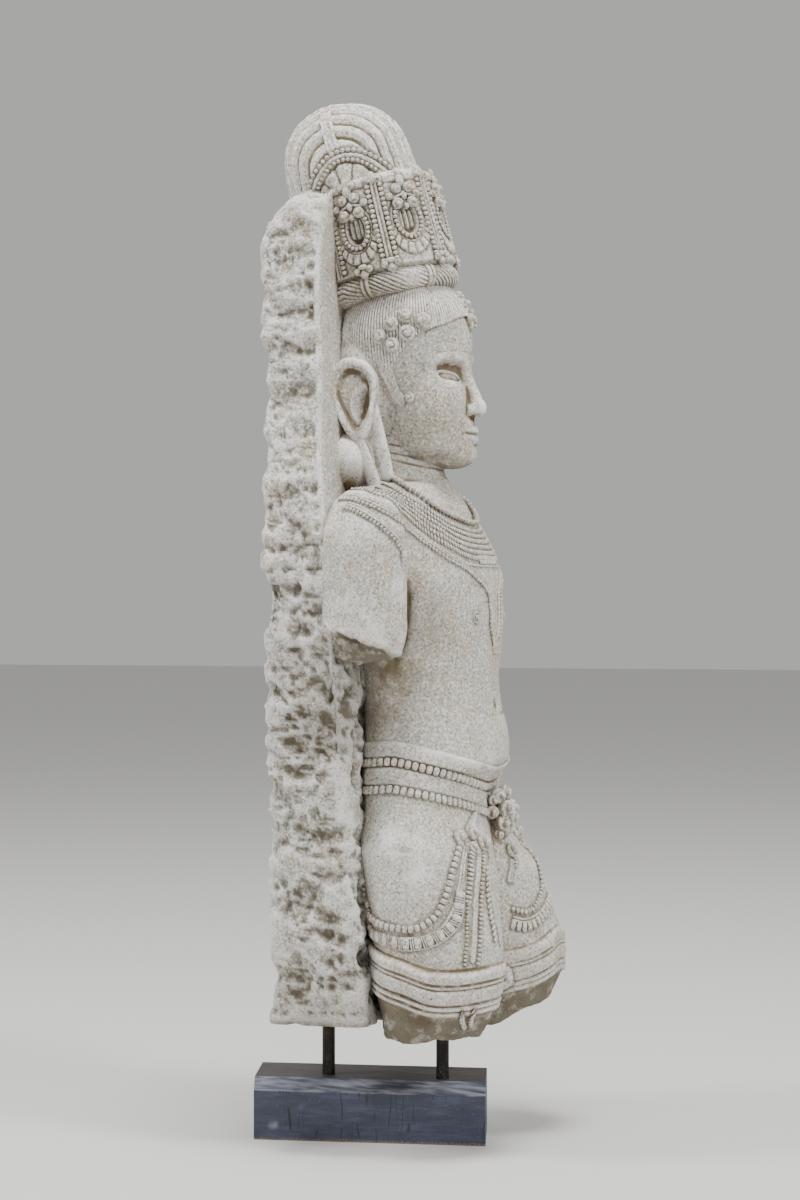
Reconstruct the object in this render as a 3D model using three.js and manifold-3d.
// Carved stone half figure of a deity with a tall crown, broken at the arms and the thighs.
// It stands clear of a dark timber block on two steel rods.
// Millimetres, +Z up. The figure faces -Y and its right hand is on the -X side.
// The origin lies on the underside of the block, below the middle of the figure.
// Places are written as x (to the figure's left), forward (towards its front) and height.

import * as THREE from 'three';
import { mergeVertices } from 'three/addons/utils/BufferGeometryUtils.js';
import Module from 'manifold-3d';

const wasm = await Module();
wasm.setup();

// Driving dimensions of the block and the rods
const touchGap = 0.3;
const weldGap = 0.02;
const blockLength = 254;
const blockWidth = 115;
const blockHeight = 67;
const blockChamfer = 13;
const blockSkew = 12;
const blockYaw = 7.4;
const blockCentre = [6, -2];
const rodDiameter = 14;
const rodInBlock = 40;
const rodPlaces = [
  { name: 'rear_rod', x: -19, forward: -44, top: 205 },
  { name: 'front_rod', x: -10, forward: 83, top: 186 },
];

// Driving dimensions of the stone
const slabTop = { z: 1014, crest: 44, slope: 0.3 };
const slabBottom = 143;
const arm = { inner: 132, outer: 150, forward: 36, halfWidth: 42, halfDepth: 46 };
const neck = { forward: 34, depth: 1.05, dip: 6 };
const stoneBottom = 122;
const bellyAxis = [[122, 96], [213, 98], [330, 66], [420, 55], [600, 55], [718, 45]];
const shoulderHeight = 718;
const beltTop = 439;
const beltBottom = 383;
const beltDip = { front: 32, back: 9 };
const hemTop = 212;
const hemBottom = 166;
const shinBreakStart = 130;
const shinBreakSlope = 0.5;
const chestSquareness = 2.3;
const thighDepth = 79;
const hipHalfWidth = 148;
const thighBlend = { low: 290, high: 370 };

// Height, forward reach and half width of the chest, belly and hips
const trunk = [
  [718, 80, 58], [700, 93, 108], [680, 103, 126], [650, 122, 130], [620, 135, 128],
  [590, 139, 122], [554, 140, 117], [490, 139, 104], [435, 148, 111], [415, 148, 116],
  [396, 134, 120], [380, 131, 127], [360, 134, 134], [320, 138, 146], [122, 138, 152],
];
// Height, forward centre of the near and the far thigh, half width of each thigh
const thighs = [
  [360, 64, 62, 96], [312, 72, 85, 92], [268, 78, 99, 84], [224, 84, 114, 77],
  [203, 85, 117, 75], [170, 81, 115, 74], [140, 73, 104, 74], [122, 64, 92, 74],
];
// Height, half width, front face and back face of the rough slab behind the figure
const slab = [
  [1035, 92, -26, -88], [1000, 112, -24, -92], [917, 124, -22, -90], [820, 134, -16, -81],
  [720, 158, -8, -76], [620, 168, 4, -72], [500, 164, 14, -71], [390, 156, 19, -70],
  [220, 150, 30, -68], [140, 148, 37, -70],
];
// Rise and fall of the hem around the figure: turn in degrees, change of height
const hemSweep = [
  [-180, 14], [-121, 12], [-100, 0], [-85, -12], [-55, -10], [0, -8], [14, -2], [34, 14],
  [60, 2], [90, -8], [130, 12], [180, 14],
];

// Driving dimensions of the head and the crown
const skull = { at: [0, 38, 868], size: [70, 74, 78] };
const hairThickness = 4;
const crownTilt = 13.5;
const tierFoot = [21.6, 944.5];
const tierHeight = 94;
const tierRadius = { bottom: 73, top: 69 };
const domeCentre = [-27, 1064];
const domeRadius = 70;
const hairline = { forward: 62, z: 858, slope: 33 };
const plaqueTurns = [-98, -49, 0, 49, 98];

const radians = THREE.MathUtils.degToRad;
const place = (x, forward, z) => new THREE.Vector3(x, -forward, z);

// Smooth value between the rows of a table, sorted here by its first column
function between(table, at, column) {
  const rows = [...table].sort((a, b) => a[0] - b[0]);
  const last = rows.length - 1;
  const where = THREE.MathUtils.clamp(at, rows[0][0], rows[last][0]);
  let i = 0;
  while (i < last - 1 && rows[i + 1][0] <= where) i += 1;
  const slope = (k) => {
    const a = rows[Math.max(k - 1, 0)];
    const b = rows[Math.min(k + 1, last)];
    return (b[column] - a[column]) / (b[0] - a[0]);
  };
  const gap = rows[i + 1][0] - rows[i][0];
  const t = (where - rows[i][0]) / gap;
  const u = 1 - t;
  return (1 + 2 * t) * u * u * rows[i][column] + t * u * u * gap * slope(i)
    + t * t * (3 - 2 * t) * rows[i + 1][column] - t * t * u * gap * slope(i + 1);
}

// Closed skin: a ball whose rings are moved to the places that at(turn, row) gives
function skin(columns, rows, at) {
  const geometry = new THREE.SphereGeometry(1, columns, rows - 1);
  const position = geometry.attributes.position;
  const uv = geometry.attributes.uv;
  for (let i = 0; i < position.count; i += 1) {
    const row = Math.round((1 - uv.getY(i)) * (rows - 1));
    const pole = row === 0 || row === rows - 1;
    const point = at(pole ? 0 : uv.getX(i) * 2 * Math.PI - Math.PI, row, pole);
    position.setXYZ(i, point.x, point.y, point.z);
  }
  return geometry;
}

// Closed geometry as a solid that can be joined and cut
function solid(geometry) {
  geometry.deleteAttribute('normal');
  geometry.deleteAttribute('uv');
  const merged = mergeVertices(geometry, 0.001);
  return new wasm.Manifold(new wasm.Mesh({
    numProp: 3,
    vertProperties: new Float32Array(merged.attributes.position.array),
    triVerts: new Uint32Array(merged.index.array),
  }));
}

// Geometry of a solid, with corners closer than weldGap drawn together
function geometryOf(body) {
  const mesh = body.getMesh();
  const geometry = new THREE.BufferGeometry();
  geometry.setAttribute('position', new THREE.BufferAttribute(mesh.vertProperties, 3));
  geometry.setIndex(new THREE.BufferAttribute(mesh.triVerts, 1));
  const merged = mergeVertices(geometry, weldGap);
  const corners = merged.index.array;
  const faces = new Map();
  for (let i = 0; i < corners.length; i += 3) {
    const face = [corners[i], corners[i + 1], corners[i + 2]];
    const key = [...face].sort((a, b) => a - b).join(' ');
    if (new Set(face).size < 3) continue;
    if (faces.has(key)) faces.delete(key);
    else faces.set(key, face);
  }
  merged.setIndex(outerFaces([...faces.values()], merged.attributes.position.count).flat());
  return merged;
}

// The faces of the largest connected skin: specks left between touching surfaces are dropped
function outerFaces(faces, cornerCount) {
  const group = Array.from({ length: cornerCount }, (_, i) => i);
  const root = (i) => {
    let at = i;
    while (group[at] !== at) at = group[at];
    group[i] = at;
    return at;
  };
  for (const [a, b, c] of faces) {
    group[root(b)] = root(a);
    group[root(c)] = root(a);
  }
  const sizes = new Map();
  for (const [a] of faces) sizes.set(root(a), (sizes.get(root(a)) ?? 0) + 1);
  const largest = [...sizes].sort((p, q) => q[1] - p[1])[0][0];
  return faces.filter(([a]) => root(a) === largest);
}

function join(bodies) {
  return bodies.reduce((whole, body) => whole.add(body));
}

function ball(at, size, columns = 10, rows = 6) {
  const geometry = new THREE.SphereGeometry(1, columns, rows);
  geometry.rotateX(Math.PI / 2);
  geometry.scale(size[0], size[1], size[2]);
  geometry.translate(at[0], -at[1], at[2]);
  return geometry;
}

function bothSides(make) {
  return [make(-1), make(1)];
}

// Round bar along a smooth curve through the given places
function bar(places, radius, steps, sides = 6) {
  const curve = new THREE.CatmullRomCurve3(places.map((p) => place(...p)), false, 'centripetal');
  const section = new THREE.Shape();
  for (let i = 0; i < sides; i += 1) {
    const angle = (2 * Math.PI * i) / sides;
    const corner = [radius * Math.cos(angle), radius * Math.sin(angle)];
    if (i === 0) section.moveTo(...corner);
    else section.lineTo(...corner);
  }
  return new THREE.ExtrudeGeometry(section, { steps, extrudePath: curve });
}

// Surface of the trunk and thighs: turn is 0 at the front and positive to the figure's left
function trunkRadius(turn, z) {
  const side = Math.sin(turn);
  const front = Math.cos(turn);
  const axis = between(bellyAxis, z, 1);
  const back = between(slab, z, 2) - 15;
  const reach = front > 0 ? between(trunk, z, 1) - axis : axis - back;
  const width = between(trunk, z, 2);
  const n = chestSquareness;
  const chest = ((Math.abs(side) / width) ** n + (Math.abs(front) / reach) ** n) ** (-1 / n);
  let legs = 0;
  for (const leg of [-1, 1]) {
    const rx = between(thighs, z, 3);
    const cx = leg * (hipHalfWidth - rx);
    const cf = between(thighs, z, leg < 0 ? 1 : 2) - axis;
    const a = (side / rx) ** 2 + (front / thighDepth) ** 2;
    const b = -2 * ((cx * side) / rx ** 2 + (cf * front) / thighDepth ** 2);
    const c = (cx / rx) ** 2 + (cf / thighDepth) ** 2 - 1;
    legs = Math.max(legs, (-b + Math.sqrt(Math.max(b * b - 4 * a * c, 0))) / (2 * a));
  }
  const above = THREE.MathUtils.smoothstep(z, thighBlend.low, thighBlend.high);
  const behind = THREE.MathUtils.smoothstep(-front, 0.1, 0.6);
  const share = Math.max(above, behind);
  return chest * share + legs * (1 - share);
}

function onTrunk(turn, z, lift = 0) {
  const radius = trunkRadius(turn, z) + lift;
  const axis = between(bellyAxis, z, 1);
  return place(radius * Math.sin(turn), axis + radius * Math.cos(turn), z);
}

// The belt hangs lower at the front and a little at the back
function beltShift(turn, z) {
  const front = Math.max(0, Math.cos(turn)) ** 1.3;
  const back = Math.max(0, -Math.cos(turn));
  const away = Math.max(0, z - beltTop, beltBottom - z);
  return -(front * beltDip.front + back * beltDip.back) * (1 - THREE.MathUtils.smoothstep(away, 0, 70));
}

function hemShift(turn, z) {
  const away = Math.max(0, z - hemTop, hemBottom - z);
  const sweep = between(hemSweep, THREE.MathUtils.radToDeg(turn), 1);
  return sweep * (1 - THREE.MathUtils.smoothstep(away, 0, 50));
}

// Heights and lifts of the trunk's rings: belt of two plain bands and two bead rows,
// ridged hem, and the break below it
function trunkRings() {
  const belt = [
    [beltTop, 0], [beltTop - 1, 4], [423, 4], [416, 8], [409, 4], [396, 4], [389, 8], [beltBottom, 0],
  ];
  const hem = [[hemTop, 0], [208, 6], [199, 3], [191, 6], [184, 3], [176, 7], [hemBottom, 1]];
  const chest = [718, 713, 702, 684, 660, 628, 590, 548, 505, 465].map((z) => [z, 0]);
  const thigh = [355, 325, 295, 265, 236].map((z) => [z, 0]);
  return [...chest, ...belt, ...thigh, ...hem, [146, -4], [127, -16], [stoneBottom, 0]];
}

function trunkSolid() {
  const rings = trunkRings();
  return solid(skin(24, rings.length, (turn, row, pole) => {
    const [z, lift] = rings[row];
    if (pole) return place(0, row === 0 ? 45 : 90, row === 0 ? shoulderHeight + 1 : stoneBottom);
    const height = z + beltShift(turn, z) + hemShift(turn, z);
    const drop = row === 1 ? -14 : 0;
    const point = onTrunk(turn, height, lift + drop);
    const lowest = stoneBottom + Math.max(0, -point.y - shinBreakStart) * shinBreakSlope;
    return place(point.x, -point.y, Math.max(point.z, lowest));
  }));
}

// Band or cord laid on a surface along a path of [turn in degrees, height]
function laid(surface, path, width, height, steps, options = {}) {
  const { ridge = 1, sink = 4 } = options;
  const curve = new THREE.CatmullRomCurve3(
    path.map(([turn, z]) => new THREE.Vector3(turn, z, 0)), false, 'centripetal',
  );
  const at = (t) => {
    const p = curve.getPoint(THREE.MathUtils.clamp(t, 0, 1));
    return surface(radians(p.x), p.y);
  };
  const normalAt = (t) => {
    const p = curve.getPoint(t);
    const around = surface(radians(p.x + 0.5), p.y).sub(surface(radians(p.x - 0.5), p.y));
    const up = surface(radians(p.x), p.y + 1).sub(surface(radians(p.x), p.y - 1));
    return around.cross(up).normalize();
  };
  const geometry = new THREE.BoxGeometry(1, 1, 1, steps, ridge > 1 ? 2 : 1, 1);
  const position = geometry.attributes.position;
  for (let i = 0; i < position.count; i += 1) {
    const t = position.getX(i) + 0.5;
    const across = position.getY(i);
    const outer = position.getZ(i) > 0;
    const point = at(t);
    const normal = normalAt(t);
    const along = at(t + 0.01).sub(at(t - 0.01)).normalize();
    const side = normal.clone().cross(along).normalize();
    const rise = outer ? height / (Math.abs(across) > 0.1 ? ridge : 1) : -sink;
    point.addScaledVector(side, across * width).addScaledVector(normal, rise);
    position.setXYZ(i, point.x, point.y, point.z);
  }
  return solid(geometry);
}

// Rough slab: an oblong in plan with worn corners, shallow hollows left by the chisel and a
// top that rises towards the crown
const slabOutline = [
  [-0.5, 1], [0.5, 1], [0.95, 1], [1, 0.8], [1, 0.25], [1, -0.3], [1, -0.8], [0.95, -1],
  [0.4, -1], [-0.4, -1], [-0.95, -1], [-1, -0.8], [-1, -0.3], [-1, 0.25], [-1, 0.8], [-0.95, 1],
];

function slabSolid() {
  const rows = 17;
  return solid(skin(slabOutline.length, rows, (turn, row, pole) => {
    const share = THREE.MathUtils.clamp((row - 1) / (rows - 3), 0, 1);
    const z = THREE.MathUtils.lerp(slabTop.z, slabBottom, share);
    const half = between(slab, z, 1);
    const front = between(slab, z, 2);
    const back = between(slab, z, 3);
    const middle = (front + back) / 2;
    const upper = 1 - THREE.MathUtils.smoothstep(row, 1, 4);
    if (pole) return place(0, middle, z + (row === 0 ? slabTop.crest : -4));
    const column = Math.round((turn / Math.PI + 1) * 8) % slabOutline.length;
    const [across, ahead] = slabOutline[column];
    const forward = middle + ahead * ((front - back) / 2);
    const hollow = 4 * Math.sin(z * 0.071 + column * 2.4) + 3 * Math.sin(z * 0.031 - column);
    const rough = ahead < 0.9 ? hollow : 0;
    const crest = slabTop.crest * (1 - Math.abs(across)) + slabTop.slope * (forward - middle);
    return place(across * (half - Math.abs(rough)), forward, z + crest * upper);
  }));
}

// Upper arms: round stumps that end in a broken face
function armSolid(side) {
  const rings = [
    [706, 0.1], [703, 0.5], [691, 0.84], [665, 1], [610, 0.98], [556, 0.95], [538, 0.8], [531, 0.1],
  ];
  return solid(skin(10, rings.length, (turn, row, pole) => {
    const [z, size] = rings[row];
    const x = side * THREE.MathUtils.lerp(arm.outer, arm.inner, THREE.MathUtils.smoothstep(z, 640, 700));
    if (pole) return place(x, arm.forward, z);
    const broken = row > 4 ? 9 * Math.cos(turn * 2 + 1) + 6 * Math.cos(turn) : 0;
    const out = arm.halfWidth * size * Math.sin(turn);
    return place(x + out, arm.forward + arm.halfDepth * size * Math.cos(turn), z + broken);
  }));
}

function neckSolid() {
  const rings = [
    [770, 0], [769, 46], [746, 47], [743, 45], [740, 48], [727, 50], [724, 48], [721, 52],
    [700, 62], [690, 0],
  ];
  return solid(skin(14, rings.length, (turn, row, pole) => {
    const [z, radius] = rings[row];
    if (pole) return place(0, neck.forward, z);
    const ahead = Math.cos(turn);
    return place(radius * Math.sin(turn), neck.forward + radius * neck.depth * ahead, z - neck.dip * ahead);
  }));
}

// Face: brow, eyes, nose, lips and chin on even thirds
function noseSolid() {
  const rings = [
    [852, 4, 108], [849, 6, 113], [832, 7, 120], [808, 10, 133], [797, 11.5, 139], [789, 11.5, 135],
    [786, 4, 112],
  ];
  const root = 100;
  return solid(skin(8, rings.length, (turn, row, pole) => {
    const [z, half, front] = rings[row];
    if (pole) return place(0, root + 6, z);
    const ahead = Math.cos(turn);
    const reach = ahead > 0 ? (front - root) * ahead ** 1.3 : -12 * Math.abs(ahead);
    return place(half * Math.sin(turn), root + reach, z);
  }));
}

function faceSolids() {
  const bodies = [
    solid(ball(skull.at, skull.size, 16, 9)),
    solid(ball([0, 62, 788], [60, 54, 56], 14, 7)),
    solid(ball([0, 100, 749], [20, 17, 17], 8, 5)),
    solid(ball([0, 113, 770], [22, 10, 5.5], 6, 4)),
    solid(ball([0, 112, 760.5], [18, 10, 6], 6, 4)),
    noseSolid(),
  ];
  bodies.push(...bothSides((s) => solid(ball([s * 33, 82, 802], [30, 30, 36], 8, 5))));
  bodies.push(...bothSides((s) => solid(ball([s * 12, 121, 793], [6.5, 10, 6.5], 6, 4))));
  bodies.push(...bothSides((s) => solid(ball([s * 30, 99, 827], [18, 11, 8.5], 8, 4))));
  bodies.push(...bothSides((s) => solid(bar(
    [[s * 4, 113, 842], [s * 16, 116, 850], [s * 34, 106, 854], [s * 56, 80, 844]], 4, 4, 4,
  ))));
  return bodies;
}

// Hair: a thin cap behind a sloping hairline, a mass behind each ear, curls at the temples
function hairSolids() {
  const grown = skull.size.map((r) => r + hairThickness);
  const cap = solid(ball(skull.at, grown, 16, 9));
  const slope = radians(hairline.slope);
  const reach = 150;
  const cutter = new THREE.BoxGeometry(2 * reach, 2 * reach, 2 * reach);
  cutter.rotateX(slope);
  cutter.translate(0, -hairline.forward - reach * Math.cos(slope), hairline.z - reach * Math.sin(slope));
  const bodies = [
    cap.subtract(solid(cutter)),
    solid(ball([0, 2, 815], [76, 38, 90], 14, 7)),
    solid(ball([0, 107, 912], [8, 9, 19], 6, 4)),
  ];
  const curls = [[26, 872], [39, 880], [53, 886], [66, 887], [34, 859], [48, 868]];
  bodies.push(...bothSides((s) => solid(ball([s * 62, -6, 738], [32, 26, 32], 8, 5))));
  for (const side of [-1, 1]) {
    for (const [forward, z] of curls) {
      const u = (forward - skull.at[1]) / skull.size[1];
      const v = (z - skull.at[2]) / skull.size[2];
      const x = side * (skull.size[0] * Math.sqrt(1 - u * u - v * v) + 3);
      bodies.push(solid(ball([x, forward, z], [7.5, 8, 8], 5, 3)));
    }
    bodies.push(solid(bar(
      [[side * 69, 32, 852], [side * 67, 38, 826], [side * 62, 48, 804]], 6, 2, 4,
    )));
  }
  return bodies;
}

// Ears: rolled rim round a shallow shell, and a pierced lobe hanging in two straps
function earSolids(side) {
  // Rings from the back of the ear over the rolled rim into the shell: size, height out
  const rings = [[0, -10], [0.8, -8], [1, 2], [0.92, 7], [0.74, 4], [0.6, -2], [0, -3]];
  const shell = skin(10, rings.length, (turn, row, pole) => {
    const [size, out] = rings[row];
    const flat = pole ? 0 : size;
    const angle = -side * turn;
    return place(
      side * (78 + out), 2 + flat * 26 * Math.sin(angle), 808 + flat * 47 * Math.cos(angle),
    );
  });
  const rearStrap = [[79, -14, 778], [80, -2, 752], [80, 16, 716], [80, 24, 700]];
  const frontStrap = [[79, 15, 780], [82, 22, 756], [81, 30, 734], [79, 28, 702]];
  const strap = (places, radius) => solid(bar(places.map(([x, f, z]) => [side * x, f, z]), radius, 3, 4));
  return [solid(shell), strap(rearStrap, 7), strap(frontStrap, 6)];
}

// Crown: its axis leans back. Surface of the tier, height measured along the axis
function onTier(turn, along, lift = 0) {
  const tilt = radians(crownTilt);
  const share = along / tierHeight;
  const radius = THREE.MathUtils.lerp(tierRadius.bottom, tierRadius.top, share) + lift;
  const x = radius * Math.sin(turn);
  const f = radius * Math.cos(turn);
  return place(
    x,
    tierFoot[0] + f * Math.cos(tilt) - along * Math.sin(tilt),
    tierFoot[1] + f * Math.sin(tilt) + along * Math.cos(tilt),
  );
}

// Plaques round the tier: an oval niche with a raised rim, a brow above it and a fan below,
// with upright strips between them. Columns and rows lie where the relief changes.
const plaqueColumns = [-20.5, -14, -8, 0, 8, 14, 20.5];
const tierRows = [
  [-22, 'foot'], [-4, 'foot'], [-2, 'band'], [6, 'band'], [14, 'fan'], [26, 'niche end'],
  [43, 'niche'], [60, 'niche end'], [72, 'brow'], [82, 'band'], [95, 'band'], [102, 'top'],
];

function tierLift(kind, column) {
  const reach = Math.abs(column - 3);
  if (kind === 'foot') return -4;
  if (kind === 'top') return -14;
  if (kind === 'band' || reach === 3) return 1;
  if (kind === 'niche') return [-6, -4, 3][reach];
  if (kind === 'niche end') return [3, 1, -5][reach];
  return [2, 0, -5][reach];
}

function tierSolid() {
  const turns = [];
  for (const turn of plaqueTurns) {
    plaqueColumns.forEach((offset, i) => turns.push([turn + offset, i]));
  }
  for (const turn of [140, 160, 180, 200]) turns.push([turn, 3]);
  const rows = [...tierRows].reverse();
  rows.unshift(rows[0]);
  rows.push(rows[rows.length - 1]);
  return solid(skin(turns.length, rows.length, (turn, row, pole) => {
    const [along, kind] = rows[row];
    if (pole) return onTier(0, along, -tierRadius.bottom);
    const column = Math.round(((turn + Math.PI) / (2 * Math.PI)) * turns.length) % turns.length;
    const behind = column >= turns.length - 4;
    return onTier(radians(turns[column][0]), along, behind ? 0 : tierLift(kind, turns[column][1]));
  }));
}

function crownSolids() {
  const tilt = radians(crownTilt);
  const bodies = [tierSolid()];
  const rope = new THREE.TorusGeometry(61, 12, 5, 16);
  rope.rotateX(tilt);
  rope.translate(0, -23, 924);
  bodies.push(solid(rope));
  bodies.push(solid(ball([0, ...domeCentre], [domeRadius, domeRadius, domeRadius], 16, 8)));
  bodies.push(...domeArches());
  return bodies;
}

// Arched hair loops on each side of the dome, one inside the other
function domeArches() {
  const foot = { forward: 4, z: -30 };
  const onDome = (angle, reach, side) => {
    const f = foot.forward + reach * Math.cos(angle);
    const z = foot.z + reach * Math.sin(angle);
    const x = Math.sqrt(Math.max(domeRadius ** 2 - f ** 2 - z ** 2, 0));
    return [side * x, domeCentre[0] + f, domeCentre[1] + z];
  };
  const bodies = [];
  for (const side of [-1, 1]) {
    for (const reach of [34, 60]) {
      const stops = [12, 38, 64, 90, 116, 142, 168].map(radians);
      bodies.push(solid(bar(stops.map((angle) => onDome(angle, reach, side)), 5, 5, 4)));
    }
  }
  return bodies;
}

// Necklaces: a bead rope, a broad collar with a pointed front, a long string, shoulder strings
function necklaceSolids() {
  const rope = [[-80, 712], [-66, 690], [-49, 674], [-25, 664], [0, 662]];
  const collar = [[-104, 694], [-84, 678], [-62, 656], [-38, 638], [0, 632]];
  const string = [
    [-110, 696], [-86, 680], [-65, 645], [-50, 627], [-37, 606], [-27, 578], [-20, 556], [0, 534],
  ];
  const shoulder = [[-112, 688], [-98, 676], [-88, 656], [-83, 634]];
  const mirrored = (path) => [...path, ...path.slice(0, -1).reverse().map(([t, z]) => [-t, z])];
  const bodies = [
    laid(onTrunk, mirrored(rope), 9, 6, 10, { ridge: 2 }),
    laid(onTrunk, mirrored(collar), 40, 3, 10),
    laid(onTrunk, mirrored(string), 10, 4.5, 13, { ridge: 2 }),
  ];
  for (const side of [-1, 1]) {
    bodies.push(laid(onTrunk, shoulder.map(([t, z]) => [side * -t, z]), 12, 5, 3, { ridge: 2 }));
  }
  bodies.push(solid(ball([0, 143, 628], [22, 8, 14], 8, 4)));
  return bodies;
}

// Girdle strings on the thighs: swags, hanging bands and the ribbon between the legs
function girdleSolids() {
  const swag = [
    [-124, 320], [-121, 278], [-110, 256], [-98, 246], [-88, 249], [-79, 266], [-72, 288], [-60, 331],
  ];
  const outer = [
    [-129, 290], [-126, 262], [-112, 244], [-98, 235], [-86, 238], [-79, 252], [-74, 268], [-57, 330],
  ];
  const fringe = [[-124, 250], [-114, 234], [-101, 226], [-90, 226], [-82, 234]];
  const farSwag = [[62, 322], [52, 285], [44, 262], [30, 250], [15, 248], [6, 256]];
  const farOuter = [[66, 310], [58, 272], [45, 248], [30, 238], [14, 236], [4, 240]];
  const farFringe = [[46, 238], [32, 226], [18, 224], [6, 226]];
  const bodies = [];
  // Path, width, height, steps and, where the band is rounded, its ridge
  const runs = [
    [swag, 9, 4.5, 9, 2], [outer, 5, 3, 8], [fringe, 15, 2.5, 4],
    [farSwag, 9, 4.5, 7, 2], [farOuter, 5, 3, 6], [farFringe, 15, 3, 3],
    [[[-46, 352], [-47, 330], [-62, 266], [-70, 204]], 20, 4, 4],
    [[[-30, 320], [-38, 288], [-48, 258], [-54, 232]], 9, 4, 4],
    [[[8, 330], [8, 300], [4, 250], [0, 204]], 9, 5, 4],
    [[[-45, 372], [-45, 352]], 6, 4, 1],
  ];
  for (const [path, width, height, steps, ridge = 1] of runs) {
    bodies.push(laid(onTrunk, path, width, height, steps, { ridge }));
  }
  bodies.push(solid(ball([-66, 128, 334], [17, 11, 11], 8, 4)));
  bodies.push(solid(ball([10, 150, 312], [9, 12, 11], 6, 4)));
  bodies.push(solid(ball([-2, 124, 188], [13, 31, 25], 8, 5)));
  return bodies;
}

function claspSolids() {
  return [
    solid(ball([0, 140, 362], [24, 21, 27], 8, 5)),
    ...bothSides((s) => solid(ball([s * 14, 153, 342], [10, 14, 11], 6, 4))),
  ];
}

// Upright round bar or bore on a rod's axis
function upright(rod, radius, bottom, top) {
  const geometry = new THREE.CylinderGeometry(radius, radius, top - bottom, 16);
  geometry.rotateX(Math.PI / 2);
  geometry.translate(rod.x, -rod.forward, (top + bottom) / 2);
  return solid(geometry);
}

function rodSolid(rod) {
  return upright(rod, rodDiameter / 2, blockHeight - rodInBlock, rod.top);
}

function boreSolid(rod) {
  return upright(rod, rodDiameter / 2 + touchGap, blockHeight - rodInBlock - touchGap, rod.top + touchGap);
}

// A body with the rods' bores cut into it
function bored(body) {
  return rodPlaces.reduce((left, rod) => left.subtract(boreSolid(rod)), body);
}

function stoneGeometry() {
  const bodies = [
    trunkSolid(), slabSolid(), ...bothSides(armSolid), neckSolid(), ...faceSolids(), ...hairSolids(),
    ...earSolids(-1), ...earSolids(1), ...crownSolids(), ...necklaceSolids(), ...girdleSolids(),
    ...claspSolids(),
  ];
  return geometryOf(bored(join(bodies)));
}

// Timber block: long top edges chamfered, ends cut a little askew
function blockGeometry() {
  const half = blockWidth / 2;
  const section = new THREE.Shape();
  section.moveTo(-half, 0);
  section.lineTo(half, 0);
  section.lineTo(half, blockHeight - blockChamfer);
  section.lineTo(half - blockChamfer, blockHeight);
  section.lineTo(-half + blockChamfer, blockHeight);
  section.lineTo(-half, blockHeight - blockChamfer);
  const block = new THREE.ExtrudeGeometry(section, { depth: blockLength, bevelEnabled: false });
  block.translate(0, 0, -blockLength / 2);
  block.rotateX(Math.PI / 2);
  const askew = new THREE.Matrix4();
  askew.elements[1] = blockSkew / blockWidth;
  block.applyMatrix4(askew);
  block.rotateZ(radians(blockYaw));
  block.translate(blockCentre[0], -blockCentre[1], 0);
  return geometryOf(bored(solid(block)));
}

const stoneFinish = new THREE.MeshStandardMaterial({ color: 0xa39c8c, roughness: 0.92, metalness: 0 });
const timberFinish = new THREE.MeshStandardMaterial({ color: 0x353a45, roughness: 0.7, metalness: 0 });
const steelFinish = new THREE.MeshStandardMaterial({ color: 0x1b1c20, roughness: 0.45, metalness: 0.8 });

function named(name, geometry, material) {
  geometry.computeVertexNormals();
  const mesh = new THREE.Mesh(geometry, material);
  mesh.name = name;
  return mesh;
}

const statue = new THREE.Group();
statue.add(named('stone_figure', stoneGeometry(), stoneFinish));
for (const rod of rodPlaces) statue.add(named(rod.name, geometryOf(rodSolid(rod)), steelFinish));
statue.add(named('timber_block', blockGeometry(), timberFinish));

export default statue;
